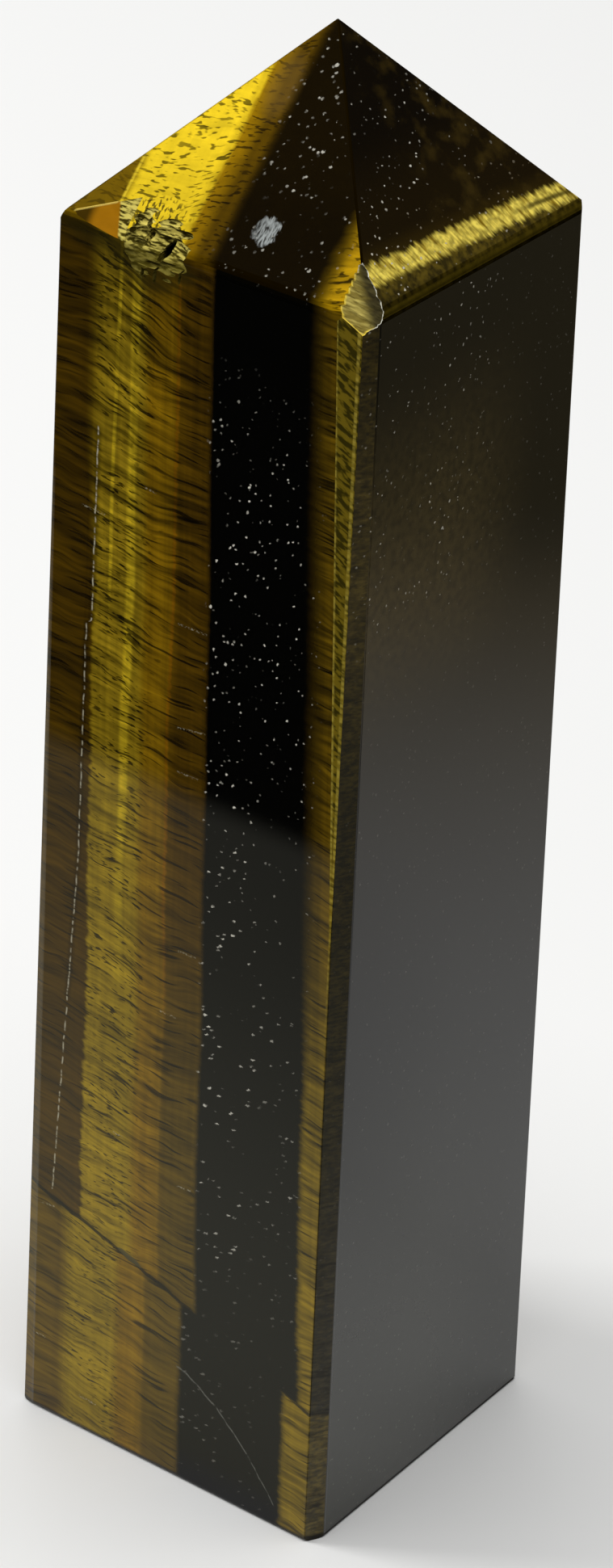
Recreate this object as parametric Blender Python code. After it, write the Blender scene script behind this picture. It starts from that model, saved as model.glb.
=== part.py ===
"""A tiger's eye tower: one piece of banded stone, sawn square, ground to a low four-sided point and polished.

Run it in Blender 4.5. Units are metres and +Z is up. The stone stands on its sawn base with the base's
centre at the origin. Its front edge, between the -Y face and the +X face, has the widest chamfer.
"""

import math

import bmesh
import bpy
from mathutils import Matrix, Vector, noise

MM = 0.001

# Driving dimensions of the ground block: the base, the narrower shoulder, which stands a little off the
# base's centre, and the apex of the point
BASE_HALF = Vector((11.02, 10.85)) * MM
SHOULDER_HALF = Vector((10.14, 10.15)) * MM
SHOULDER_CENTRE = Vector((-0.69, -0.38)) * MM
BODY_HEIGHT = 79.0 * MM
APEX = Vector((-0.66, -0.23, 89.9)) * MM

# How far the polishing pad's rounding reaches onto each face beside an edge, and the flats it is made of
SHOULDER_ROUND = (0.55 * MM, 4)
RIDGE_ROUND = (0.12 * MM, 2)
CHAMFER_ROUND = (0.10 * MM, 2)
BASE_ROUND = (0.35 * MM, 2)

# Chamfers along the four upright edges, as (side of X, side of Y, cut into the Y face at the shoulder and
# at the base, cut into the X face at the base)
EDGE_CHAMFERS = (
    (1, -1, 0.65 * MM, 0.65 * MM, 1.15 * MM),
    (-1, -1, 0.03 * MM, 0.84 * MM, 0.25 * MM),
    (1, 1, 0.45 * MM, 0.60 * MM, 0.55 * MM),
    (-1, 1, 0.95 * MM, 0.70 * MM, 0.90 * MM),
)

# The narrow second facet left of the front chamfer, which runs out part way down
SLIVER_TOP_WIDTH = 1.97 * MM
SLIVER_TOP_DEPTH = 0.24 * MM
SLIVER_END_HEIGHT = 38.0 * MM

# The chip off the front corner of the shoulder: its upper tip on the ridge, its two side tips, and the run
# of its ledges
FRONT_CHIP_TOP = Vector((7.36, -8.44, 81.22)) * MM
FRONT_CHIP_LEFT = Vector((7.40, -10.55, 79.10)) * MM
FRONT_CHIP_RIGHT = Vector((9.46, -8.98, 79.00)) * MM
FRONT_CHIP_ALONG = Vector((1.0, 0.1, -0.28))
FRONT_CHIP_REACH = 2.4 * MM
FRONT_CHIP_CELL = 0.08 * MM
LEDGE_PITCH = 0.46 * MM
LEDGE_RISE = 0.07 * MM
LEDGE_RISER_SHARE = 0.20
LEDGE_LEVEL = 0.35
LEDGE_WANDER = 0.60
LEDGE_WANDER_SIZE = 1.2 * MM
LEDGE_GRAIN = 0.4
LEDGE_GRAIN_LENGTH = 0.8 * MM
LEDGE_GRAIN_WIDTH = 0.2 * MM

# The ragged hollow on the left shoulder, where the fibres broke out
HOLLOW_CENTRE = Vector((-4.50, -10.53, 79.05)) * MM
HOLLOW_FACING = Vector((0.0, -0.93, 0.37))
HOLLOW_HALF_LENGTH = 2.25 * MM
HOLLOW_HALF_HEIGHT = 2.60 * MM
HOLLOW_DEPTH = 0.60 * MM
HOLLOW_CLIMB = 0.70 * MM
HOLLOW_CELL = 0.12 * MM
SPLINTER_LENGTH = 1.40 * MM
SPLINTER_WIDTH = 0.30 * MM
SPLINTER_RISE = 0.36 * MM
LUMP_SIZE = 1.1 * MM
LUMP_RISE = 0.22 * MM
RAGGED_END_SIZE = 0.48 * MM
RAGGED_END_SHARE = 0.22

# The share of the hollow's half length, and of its half height, where its floor starts to climb out
END_CLIMB_START = 0.62
SIDE_CLIMB_START = 0.70

# Deep slots between the broken fibres, as (centre, half width, depth and half height, lean to +X in degrees)
SLOTS = (
    (Vector((-5.37, -9.95, 79.38)) * MM, Vector((0.25, 1.00, 0.72)) * MM, -15.0),
    (Vector((-4.03, -10.20, 78.75)) * MM, Vector((0.22, 1.00, 0.84)) * MM, 26.0),
    (Vector((-4.38, -10.45, 77.35)) * MM, Vector((0.13, 0.50, 0.46)) * MM, 6.0),
    (Vector((-2.73, -10.45, 77.75)) * MM, Vector((0.10, 0.45, 0.42)) * MM, 4.0),
    (Vector((-5.27, -10.50, 77.20)) * MM, Vector((0.09, 0.40, 0.32)) * MM, -8.0),
)

# The smooth chip beside the hollow: a flat that starts at a point and widens to the right
FLAT_CHIP_TIP = Vector((-9.45, -10.22, 79.28)) * MM
FLAT_CHIP_UPPER = Vector((-7.25, -9.44, 80.10)) * MM
FLAT_CHIP_LOWER = Vector((-6.68, -10.56, 78.62)) * MM
FLAT_CHIP_SIZE = Vector((2.9, 2.2, 0.8)) * MM

# Which stretch of the noise each broken surface takes
LEDGE_GRAIN_SEED = 3.0
RAGGED_END_SEED = 5.0
SPLINTER_SEED = 7.0
LUMP_SEED = 21.0

# The fibres cross the bands of colour, which lie parallel to the +X face
FIBRE = Vector((1, 0, 0))

STONE_COLOUR = (0.105, 0.070, 0.012, 1.0)
STONE_ROUGHNESS = 0.12


def collection(name):
    """A new collection in the scene."""
    made = bpy.data.collections.new(name)
    bpy.context.scene.collection.children.link(made)
    return made


def clear_scene():
    for obj in list(bpy.data.objects):
        bpy.data.objects.remove(obj, do_unlink=True)


def stone_material():
    """Polished brown-gold stone."""
    material = bpy.data.materials.new("polished_tigers_eye")
    material.use_nodes = True
    shader = material.node_tree.nodes["Principled BSDF"]
    shader.inputs["Base Color"].default_value = STONE_COLOUR
    shader.inputs["Roughness"].default_value = STONE_ROUGHNESS
    shader.inputs["Metallic"].default_value = 0.0
    return material


def face_edge(side_x, side_y, height):
    """A point on the block's sharp upright edge, at a height between the base and the shoulder."""
    share = height / BODY_HEIGHT
    x = side_x * (BASE_HALF.x * (1 - share) + SHOULDER_HALF.x * share) + SHOULDER_CENTRE.x * share
    y = side_y * (BASE_HALF.y * (1 - share) + SHOULDER_HALF.y * share) + SHOULDER_CENTRE.y * share
    return Vector((x, y, height))


def outward(a, b, c):
    """The normal, pointing out of the stone, of the plane through three points."""
    heart = Vector((0.0, 0.0, BODY_HEIGHT / 2))
    normal = (b - a).cross(c - a).normalized()
    return -normal if normal.dot(heart - a) > 0 else normal


def grind(bm, point, normal):
    """Grinds the block flat along a plane, and closes it with the new facet."""
    geometry = bm.verts[:] + bm.edges[:] + bm.faces[:]
    cut = bmesh.ops.bisect_plane(bm, geom=geometry, plane_co=point, plane_no=normal, clear_outer=True)
    rim = [item for item in cut["geom_cut"] if isinstance(item, bmesh.types.BMEdge)]
    if rim:
        bmesh.ops.edgeloop_fill(bm, edges=rim)
        bmesh.ops.recalc_face_normals(bm, faces=bm.faces[:])


def round_edge(bm, point, first, second, rounding):
    """Rounds the edge between two facets with a row of narrow flats, each touching the same cylinder."""
    reach, flats = rounding
    angle = first.angle(second)
    radius = reach / math.tan(angle / 2)
    axis_point = point - (first + second) * radius / (1 + first.dot(second))
    for flat in range(1, flats + 1):
        normal = first.slerp(second, flat / (flats + 1)).normalized()
        grind(bm, axis_point + normal * radius, normal)


def sawn_and_ground_block():
    """The whole stone before any damage: four tapered sides, four point facets, chamfers, polished edges."""
    bm = bmesh.new()
    blank = Matrix.Diagonal((3 * BASE_HALF.x, 3 * BASE_HALF.y, APEX.z, 1.0))
    bmesh.ops.create_cube(bm, size=1.0, matrix=Matrix.Translation((0, 0, APEX.z / 2)) @ blank)
    corners = ((1, -1), (1, 1), (-1, 1), (-1, -1))
    walls = []
    slopes = []
    for here, there in zip(corners, corners[1:] + corners[:1]):
        foot = face_edge(*here, 0.0)
        top = face_edge(*here, BODY_HEIGHT)
        next_top = face_edge(*there, BODY_HEIGHT)
        walls.append((top, outward(foot, face_edge(*there, 0.0), next_top)))
        slopes.append((top, outward(top, next_top, APEX)))
    for point, normal in walls + slopes:
        grind(bm, point, normal)
    for number, (point, normal) in enumerate(slopes):
        round_edge(bm, APEX, slopes[number - 1][1], normal, RIDGE_ROUND)
        round_edge(bm, point, walls[number][1], normal, SHOULDER_ROUND)
    grind_chamfers(bm)
    grind_sliver(bm)
    for number, (point, normal) in enumerate(walls):
        foot = face_edge(*corners[number], 0.0)
        round_edge(bm, foot, normal, Vector((0, 0, -1)), BASE_ROUND)
    bmesh.ops.remove_doubles(bm, verts=bm.verts, dist=0.004 * MM)
    bmesh.ops.triangulate(bm, faces=bm.faces)
    return bm


def grind_chamfers(bm):
    """The chamfers along the upright edges, with their own two edges softened."""
    for side_x, side_y, shoulder_cut, base_cut, far_cut in EDGE_CHAMFERS:
        top = face_edge(side_x, side_y, BODY_HEIGHT)
        foot = face_edge(side_x, side_y, 0.0)
        near = top - Vector((side_x * shoulder_cut, 0, 0))
        far = foot - Vector((0, side_y * far_cut, 0))
        normal = outward(near, foot - Vector((side_x * base_cut, 0, 0)), far)
        grind(bm, near, normal)
        y_face = outward(top, foot, face_edge(-side_x, side_y, 0.0))
        x_face = outward(top, foot, face_edge(side_x, -side_y, 0.0))
        round_edge(bm, near, y_face, normal, CHAMFER_ROUND)
        round_edge(bm, far, x_face, normal, CHAMFER_ROUND)


def grind_sliver(bm):
    """The second facet on the -Y face, wide at the shoulder and gone half way down."""
    chamfer = EDGE_CHAMFERS[0][2]
    top = face_edge(1, -1, BODY_HEIGHT)
    outer = top - Vector((SLIVER_TOP_WIDTH, 0, 0))
    inner = top - Vector((chamfer, -SLIVER_TOP_DEPTH, 0))
    end = face_edge(1, -1, SLIVER_END_HEIGHT) - Vector((chamfer, 0, 0))
    grind(bm, outer, outward(outer, inner, end))


def as_object(bm, name, home):
    """The finished mesh as an object in a collection."""
    mesh = bpy.data.meshes.new(name)
    bm.to_mesh(mesh)
    bm.free()
    obj = bpy.data.objects.new(name, mesh)
    home.objects.link(obj)
    return obj


def chip_frame(centre, facing, along):
    """A frame on a broken surface: X along it, Z out of the stone."""
    z = facing.normalized()
    x = (along - z * along.dot(z)).normalized()
    y = z.cross(x)
    return Matrix.Translation(centre) @ Matrix((x, y, z)).transposed().to_4x4()


def fracture_block(name, home, frame, half_length, half_height, cell, surface):
    """A block whose underside is a broken surface, so that cutting with it leaves the break in the stone."""
    bm = bmesh.new()
    columns = round(2 * half_length / cell)
    rows = round(2 * half_height / cell)
    bmesh.ops.create_grid(bm, x_segments=columns, y_segments=rows, size=1.0)
    for vert in bm.verts:
        x = vert.co.x * half_length
        y = vert.co.y * half_height
        vert.co = Vector((x, y, surface(x, y)))
    lid_height = max(half_length, half_height)
    lid = bmesh.ops.extrude_face_region(bm, geom=bm.faces[:])
    for item in lid["geom"]:
        if isinstance(item, bmesh.types.BMVert):
            item.co.z = lid_height
    bmesh.ops.transform(bm, matrix=frame, verts=bm.verts)
    bmesh.ops.recalc_face_normals(bm, faces=bm.faces[:])
    return as_object(bm, name, home)


def stepped_break(x, y):
    """The front chip's surface: low ledges that run along X, each with a short riser."""
    wander = LEDGE_WANDER * noise.noise(Vector((x, y, 0)) / LEDGE_WANDER_SIZE)
    step = (y / LEDGE_PITCH + wander) % 1.0
    tread = min(step / (1 - LEDGE_RISER_SHARE), (1 - step) / LEDGE_RISER_SHARE)
    grain = noise.noise(Vector((x / LEDGE_GRAIN_LENGTH, y / LEDGE_GRAIN_WIDTH, LEDGE_GRAIN_SEED)))
    return LEDGE_RISE * (LEDGE_LEVEL - tread + LEDGE_GRAIN * grain)


def ragged_break(x, y):
    """The hollow's surface: splintered fibres that run along X, rising out of the stone at both ends."""
    splinter = noise.noise(Vector((x / SPLINTER_LENGTH, y / SPLINTER_WIDTH, SPLINTER_SEED)))
    lump = noise.noise(Vector((x / LUMP_SIZE, y / LUMP_SIZE, LUMP_SEED)))
    ragged_end = noise.noise(Vector((y / RAGGED_END_SIZE, RAGGED_END_SEED, x / MM)))
    end_start = END_CLIMB_START - RAGGED_END_SHARE * ragged_end
    end_rise = max(0.0, abs(x) / HOLLOW_HALF_LENGTH - end_start) / (1.0 - END_CLIMB_START)
    side_rise = max(0.0, abs(y) / HOLLOW_HALF_HEIGHT - SIDE_CLIMB_START) / (1.0 - SIDE_CLIMB_START)
    climb = HOLLOW_CLIMB * (end_rise * end_rise + side_rise)
    return climb - HOLLOW_DEPTH + SPLINTER_RISE * splinter + LUMP_RISE * lump


def slot_block(name, home, centre, radii, lean):
    """A thin rounded blade, for the deep slots between the broken fibres."""
    turn = Matrix.Rotation(math.radians(lean), 4, "Y")
    bm = bmesh.new()
    frame = Matrix.Translation(centre) @ turn @ Matrix.Diagonal((*radii, 1.0))
    bmesh.ops.create_icosphere(bm, subdivisions=2, radius=1.0, matrix=frame)
    return as_object(bm, name, home)


def flat_chip_block(name, home):
    """A block whose underside is the smooth flat beside the hollow."""
    normal = outward(FLAT_CHIP_TIP, FLAT_CHIP_UPPER, FLAT_CHIP_LOWER)
    frame = chip_frame(FLAT_CHIP_TIP, normal, FIBRE)
    stand = Matrix.Translation((0, 0, FLAT_CHIP_SIZE.z)) @ Matrix.Diagonal((*FLAT_CHIP_SIZE, 1))
    bm = bmesh.new()
    bmesh.ops.create_cube(bm, size=2.0, matrix=frame @ stand)
    return as_object(bm, name, home)


def cut(stone, cutter):
    """Takes the cutter's shape out of the stone, and hides the cutter."""
    cutter.hide_render = True
    cutter.display_type = "WIRE"
    modifier = stone.modifiers.new(cutter.name, "BOOLEAN")
    modifier.operation = "DIFFERENCE"
    modifier.solver = "EXACT"
    modifier.object = cutter


def front_chip(stone, home):
    """Breaks the front corner off the shoulder."""
    corners = (FRONT_CHIP_TOP, FRONT_CHIP_LEFT, FRONT_CHIP_RIGHT)
    frame = chip_frame(sum(corners, Vector()) / 3, outward(*corners), FRONT_CHIP_ALONG)
    size = (FRONT_CHIP_REACH, FRONT_CHIP_REACH, FRONT_CHIP_CELL)
    cut(stone, fracture_block("front_chip", home, frame, *size, stepped_break))


def shoulder_hollow(stone, home):
    """Breaks the fibres out of the left shoulder, then opens the slots between them."""
    frame = chip_frame(HOLLOW_CENTRE, HOLLOW_FACING, FIBRE)
    size = (HOLLOW_HALF_LENGTH, HOLLOW_HALF_HEIGHT, HOLLOW_CELL)
    cut(stone, flat_chip_block("flat_chip", home))
    cut(stone, fracture_block("shoulder_hollow", home, frame, *size, ragged_break))
    for number, (centre, radii, lean) in enumerate(SLOTS, 1):
        cut(stone, slot_block(f"slot_{number}", home, centre, radii, lean))


clear_scene()
tower = collection("tigers_eye_tower_parts")
cutters = collection("cutters")
stone = as_object(sawn_and_ground_block(), "tigers_eye_tower", tower)
stone.data.materials.append(stone_material())
front_chip(stone, cutters)
shoulder_hollow(stone, cutters)
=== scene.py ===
"""A polished tiger's eye tower standing on a pale table under soft studio light."""

import math

import bmesh
import bpy
from mathutils import Matrix, Vector, noise


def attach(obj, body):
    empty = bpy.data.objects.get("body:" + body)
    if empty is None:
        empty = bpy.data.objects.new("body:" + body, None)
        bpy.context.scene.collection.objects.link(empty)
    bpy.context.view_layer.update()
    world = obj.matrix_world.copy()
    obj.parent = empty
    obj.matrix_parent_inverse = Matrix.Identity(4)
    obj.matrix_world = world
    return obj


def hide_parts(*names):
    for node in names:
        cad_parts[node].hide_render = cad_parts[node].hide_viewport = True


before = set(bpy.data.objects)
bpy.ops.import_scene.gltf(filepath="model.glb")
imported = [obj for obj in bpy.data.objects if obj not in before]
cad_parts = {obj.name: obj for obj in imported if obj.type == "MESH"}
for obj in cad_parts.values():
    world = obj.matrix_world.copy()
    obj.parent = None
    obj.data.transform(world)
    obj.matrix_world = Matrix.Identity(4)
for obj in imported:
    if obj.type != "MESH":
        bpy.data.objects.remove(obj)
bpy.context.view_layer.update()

# The tower is one piece of stone, sawn square, ground to a low point and polished. Its faces are those of the
# fixed frame. Only the two rough breaks, on the front corner and on the left shoulder, get a finer surface
# here, because broken stone splits along its silky fibres, which run along X.

MM = 0.001
STONE_NODE = "tigers_eye_tower"
WELD = 0.001 * MM
FRONT_CHIP_CENTRE = Vector((8.3, -9.3, 79.8)) * MM
FRONT_CHIP_REACH = 2.6 * MM
HOLLOW_CENTRE = Vector((-6.0, -10.2, 79.0)) * MM
HOLLOW_REACH = 4.4 * MM
FLAT_CHIP_END = -6.75 * MM
FLAT_CHIP_FOOT = 78.6 * MM
POLISHED_WITHIN = math.cos(math.radians(1.0))
SUNK_AT_LEAST = 0.02 * MM
GRAIN_CUTS = 2
FIBRE_LENGTH = 0.9 * MM
FIBRE_WIDTH = 0.13 * MM
FIBRE_DEPTH = 0.05 * MM
SMOOTH_ANGLE = math.radians(24)
FLAT_AREA = 12 * MM * MM
FLAT_WITHIN = math.radians(0.3)
SMALLEST_FLAT = 0.5 * MM * MM
SAME_FLAT = 0.99999


def near_a_break(point):
    """True close to one of the two rough breaks. The flat chip lies within reach of the hollow."""
    by_chip = (point - FRONT_CHIP_CENTRE).length < FRONT_CHIP_REACH
    return by_chip or (point - HOLLOW_CENTRE).length < HOLLOW_REACH


def on_flat_chip(point):
    """True on the flat chip at the left end of the shoulder, which split off smoothly."""
    return point.x < FLAT_CHIP_END and point.z > FLAT_CHIP_FOOT


def polished_planes(bm):
    """The ground block's planes, from the faces away from the breaks, as normals and distances."""
    planes = []
    for face in bm.faces:
        centre = face.calc_center_median()
        if face.calc_area() < SMALLEST_FLAT or near_a_break(centre):
            continue
        if all(face.normal.dot(normal) < SAME_FLAT for normal, _ in planes):
            planes.append((face.normal.copy(), face.normal.dot(centre)))
    return planes


def mark_breaks(bm, planes):
    """Stores which faces are broken stone."""
    broken = bm.faces.layers.float.new("broken")
    for face in bm.faces:
        centre = face.calc_center_median()
        sunk = min(distance - normal.dot(centre) for normal, distance in planes)
        aligned = max(face.normal.dot(normal) for normal, _ in planes)
        rough = near_a_break(centre) and (aligned < POLISHED_WITHIN or sunk > SUNK_AT_LEAST)
        face[broken] = 1.0 if rough else 0.0
    return broken


def split_into_fibres(bm, broken, planes):
    """Gives the rough breaks a fine, lower surface of torn fibres, and stores how deep it lies."""
    inner = [edge for edge in bm.edges if all(face[broken] for face in edge.link_faces)]
    bmesh.ops.subdivide_edges(bm, edges=inner, cuts=GRAIN_CUTS, use_grid_fill=True)
    bmesh.ops.triangulate(bm, faces=[face for face in bm.faces if face[broken]])
    bm.normal_update()
    moves = []
    for vert in bm.verts:
        if all(face[broken] for face in vert.link_faces) and not on_flat_chip(vert.co):
            along = Vector((vert.co.x / FIBRE_LENGTH, vert.co.y / FIBRE_WIDTH, vert.co.z / FIBRE_WIDTH))
            depth = 0.5 + 0.5 * noise.noise(along)
            moves.append((vert, vert.normal * (-FIBRE_DEPTH * depth)))
    for vert, move in moves:
        vert.co += move
    sunk = bm.verts.layers.float.new("depth")
    for vert in bm.verts:
        if near_a_break(vert.co):
            vert[sunk] = min(distance - normal.dot(vert.co) for normal, distance in planes) / MM


stone_mesh = bpy.data.meshes.new("polished_stone")
bm = bmesh.new()
bm.from_mesh(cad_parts[STONE_NODE].data)
bmesh.ops.remove_doubles(bm, verts=bm.verts, dist=WELD)
bmesh.ops.dissolve_limit(bm, angle_limit=FLAT_WITHIN, verts=bm.verts, edges=bm.edges)
bm.normal_update()
planes = polished_planes(bm)
split_into_fibres(bm, mark_breaks(bm, planes), planes)
bm.to_mesh(stone_mesh)
bm.free()
stone_mesh.set_sharp_from_angle(angle=SMOOTH_ANGLE)
flat_normals = [face.normal.copy() for face in stone_mesh.polygons if face.area > FLAT_AREA]
for face in stone_mesh.polygons:
    on_flat = any(face.normal.dot(normal) > POLISHED_WITHIN for normal in flat_normals)
    face.use_smooth = not (on_flat or (on_flat_chip(face.center) and near_a_break(face.center)))
stone = bpy.data.objects.new("polished_stone", stone_mesh)
bpy.context.scene.collection.objects.link(stone)

# The stone's colour is in its layers. They lie parallel to the +X face and fan out a little towards the base:
# brown, gold, brown, black, gold and black again from left to right. One healed fault, low down, has moved
# all of them sideways. The fibres cross the layers, and every dark streak follows them.


def linear(red, green, blue):
    """A colour read off a screen, from 0 to 255, as light."""
    def channel(v):
        v = v / 255
        return v / 12.92 if v <= 0.04045 else ((v + 0.055) / 1.055) ** 2.4
    return (channel(red), channel(green), channel(blue), 1.0)


class Shade:
    """One output in a material's tree. Arithmetic on it adds Math nodes."""

    def __init__(self, tree, socket=None):
        self.tree = tree
        self.socket = socket

    def node(self, kind, settings, inputs, output):
        """Adds a node: its settings first, then its sockets, and returns one of its outputs."""
        made = self.tree.nodes.new(kind)
        for name, value in settings.items():
            setattr(made, name, value)
        for name, value in inputs.items():
            socket = next(s for s in made.inputs if s.identifier == name)
            if isinstance(value, Shade):
                self.tree.links.new(value.socket, socket)
            else:
                socket.default_value = value
        return Shade(self.tree, next(s for s in made.outputs if s.identifier == output))

    def math(self, operation, first, second=0.0):
        inputs = {"Value": first, "Value_001": second}
        return self.node("ShaderNodeMath", {"operation": operation}, inputs, "Value")

    def __add__(self, other):
        return self.math("ADD", self, other)

    __radd__ = __add__

    def __mul__(self, other):
        return self.math("MULTIPLY", self, other)

    __rmul__ = __mul__

    def __sub__(self, other):
        return self.math("SUBTRACT", self, other)

    def __rsub__(self, other):
        return self.math("SUBTRACT", other, self)

    def __truediv__(self, other):
        return self.math("DIVIDE", self, other)

    def __abs__(self):
        return self.math("ABSOLUTE", self)

    def at_least(self, other):
        return self.math("MAXIMUM", self, other)

    def at_most(self, other):
        return self.math("MINIMUM", self, other)

    def rise(self, start, end):
        """0 before start, 1 after end, with a smooth step between. The two may be the other way round."""
        inputs = {"Value": self, "From Min": start, "From Max": end}
        return self.node("ShaderNodeMapRange", {"interpolation_type": "SMOOTHSTEP"}, inputs, "Result")

    def between(self, start, end, soft):
        """1 from start to end and 0 outside, softened."""
        return self.rise(start - soft, start + soft) * self.rise(end + soft, end - soft)

    def line(self, half_width, soft):
        """1 where the value is close to 0."""
        return abs(self).rise(half_width + soft, half_width)

    def part(self, axis):
        """One of the three numbers of a place or a direction."""
        return self.node("ShaderNodeSeparateXYZ", {}, {"Vector": self}, axis)

    def vector(self, x, y, z):
        """A place from its three numbers."""
        return self.node("ShaderNodeCombineXYZ", {}, {"X": x, "Y": y, "Z": z}, "Vector")

    def grain(self, sizes, shift=(0.0, 0.0, 0.0)):
        """A place counted in grains of these sizes, shifted. A size of 0 means no change along that axis."""
        scale = tuple(1.0 / size if size else 0.0 for size in sizes)
        inputs = {"Vector": self, "Location": shift, "Scale": scale}
        return self.node("ShaderNodeMapping", {}, inputs, "Vector")

    def cloud(self, sizes, detail=2.0, shift=(0.0, 0.0, 0.0)):
        """Smooth noise at a place, from about -1 to 1, in grains of these sizes."""
        inputs = {"Vector": self.grain(sizes, shift), "Scale": 1.0, "Detail": detail}
        return self.node("ShaderNodeTexNoise", {}, inputs, "Fac") * 4.0 - 2.0

    def specks(self, sizes, reach, shift=(0.0, 0.0, 0.0)):
        """One speck in each cell of these sizes. Gives 1 in a speck's middle, 0 at its edge."""
        inputs = {"Vector": self.grain(sizes, shift), "Scale": 1.0, "Randomness": 1.0}
        return self.node("ShaderNodeTexVoronoi", {}, inputs, "Distance").rise(reach, reach * 0.5)

    def blend(self, under, over, share):
        """Two colours mixed: share 0 shows the first, share 1 the second."""
        settings = {"data_type": "RGBA", "clamp_factor": True}
        inputs = {"Factor_Float": share, "A_Color": under, "B_Color": over}
        return self.node("ShaderNodeMix", settings, inputs, "Result_Color")

    def dim(self, colour, amount):
        """A colour multiplied by a number."""
        settings = {"data_type": "RGBA", "clamp_factor": False}
        inputs = {"Factor_Float": amount, "A_Color": (0.0, 0.0, 0.0, 1.0), "B_Color": colour}
        return self.node("ShaderNodeMix", settings, inputs, "Result_Color")


def oval(across, up, centre, half_sizes):
    """Grows from 0 in the middle of an oval to 1 on its rim."""
    u = (across - centre[0]) / half_sizes[0]
    v = (up - centre[1]) / half_sizes[1]
    return u * u + v * v


material = bpy.data.materials.new("banded_tigers_eye")
material.use_nodes = True
tree = material.node_tree
shader = tree.nodes["Principled BSDF"]
ink = Shade(tree)

# Places in the stone, in mm, and the kinds of face, told apart by the way they look
place = ink.node("ShaderNodeTexCoord", {}, {}, "Object").grain((MM, MM, MM))
x = place.part("X")
y = place.part("Y")
z = place.part("Z")
facing = ink.node("ShaderNodeNewGeometry", {}, {}, "True Normal")
facing_x = facing.part("X")
facing_y = facing.part("Y")
facing_z = facing.part("Z")
broken = ink.node("ShaderNodeAttribute", {"attribute_name": "broken"}, {}, "Fac")
depth = ink.node("ShaderNodeAttribute", {"attribute_name": "depth"}, {}, "Fac")
on_point = facing_z.rise(0.25, 0.5)
on_left_point = on_point * facing_y.rise(-0.45, -0.6)
on_right_point = on_point * facing_x.rise(0.35, 0.55)
on_chamfer = facing_x.rise(0.3, 0.5) * (1.0 - on_point)
on_sliver = facing_x.rise(0.06, 0.12) * (1.0 - on_point) * (1.0 - on_chamfer)
on_right_side = facing_x.rise(0.8, 0.95) * (1.0 - on_point)
on_base_edge = facing_z.rise(-0.1, -0.5)
on_ridge = facing_z.rise(0.70, 0.72)
on_shoulder_round = facing_z.between(0.05, 0.62, 0.03)

# The healed fault climbs to the left, and it has moved the layers below it
FAULT_HEIGHT = 13.0
FAULT_SLOPE = 0.345
FAULT_BEND = 0.003
FAULT_JITTER = 0.10
FAULT_SHIFT = 0.95
SHOULDER_HEIGHT = 79.0
LAYER_DRIFT = 0.0327
LAYER_FAN = 0.00175
LAYER_WAVE = 0.08
POINT_LAYER_SHIFT = 0.32

fault_height = FAULT_HEIGHT - FAULT_SLOPE * x - FAULT_BEND * x * x
fault_height = fault_height + FAULT_JITTER * place.cloud((1.6, 3.0, 0.0), 2.0, (0.0, 0.0, 4.0))
over_fault = z - fault_height
below_fault = over_fault.rise(0.06, -0.06)
below_shoulder = (SHOULDER_HEIGHT - z).at_least(0.0)
layer_wave = LAYER_WAVE * place.cloud((0.0, 4.0, 9.0), 0.0, (3.0, 0.0, 0.0))
layer = (x - LAYER_DRIFT * below_shoulder) / (1.0 + LAYER_FAN * below_shoulder)
layer = layer + FAULT_SHIFT * below_fault + POINT_LAYER_SHIFT * on_point + layer_wave

# The fibres sag where they cross the gold, most near the shoulder, and run level again before the black
SAG = 1.1
MORE_SAG = 1.0
STRIP_SAG = 0.12
STRIP_SAG_FROM = 6.4
POINT_SLOPE = 0.16

sag = x.rise(-9.5, -1.5) * (SAG + MORE_SAG * z.rise(63.0, 77.0))
sag = sag + STRIP_SAG * (x - STRIP_SAG_FROM).at_least(0.0)
sag = sag * (1.0 - on_point) - POINT_SLOPE * x * on_point
fibre = z + sag + 0.25 * place.cloud((5.0, 5.0, 6.0), 0.0) + 0.09 * place.cloud((1.5, 3.0, 1.3), 0.0)
threads = ink.vector(x, y, fibre)

# Where each layer starts, at the shoulder, and its own colour
GOLD_STARTS = -8.4
POINT_GOLD_STARTS = -7.45
GOLD_DEEPENS = -5.0
AMBER_STARTS = -2.75
BLACK_STARTS = -0.57
FRONT_GOLD_STARTS = 6.15
BROWN = linear(78, 56, 2)
LOW_BROWN = linear(104, 80, 10)
OLIVE_GOLD = linear(158, 131, 24)
DEEP_GOLD = linear(136, 103, 8)
AMBER_BROWN = linear(84, 60, 3)
LOW_AMBER = linear(97, 76, 11)
BLACK = linear(3, 3, 2)
FRONT_GOLD = linear(104, 80, 9)
LOW_FRONT_GOLD = linear(134, 110, 22)
CHAMFER_DARK = linear(30, 24, 7)
CHAMFER_BROWN = linear(66, 55, 18)
CHAMFER_OLIVE = linear(122, 102, 30)
# Painted reflections on the right side: the pale table's grey low down, and a brown one above
SIDE_REFLECTED_GREY = linear(67, 67, 61)
SIDE_REFLECTED_BROWN = linear(66, 56, 31)
POINT_CORNER = linear(80, 61, 2)
POINT_GOLD = linear(170, 145, 22)
POINT_AMBER = linear(101, 75, 1)
POINT_BROWN = linear(58, 41, 0)
POINT_BLACK = linear(17, 10, 0)
POINT_STRIP = linear(176, 137, 10)

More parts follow.
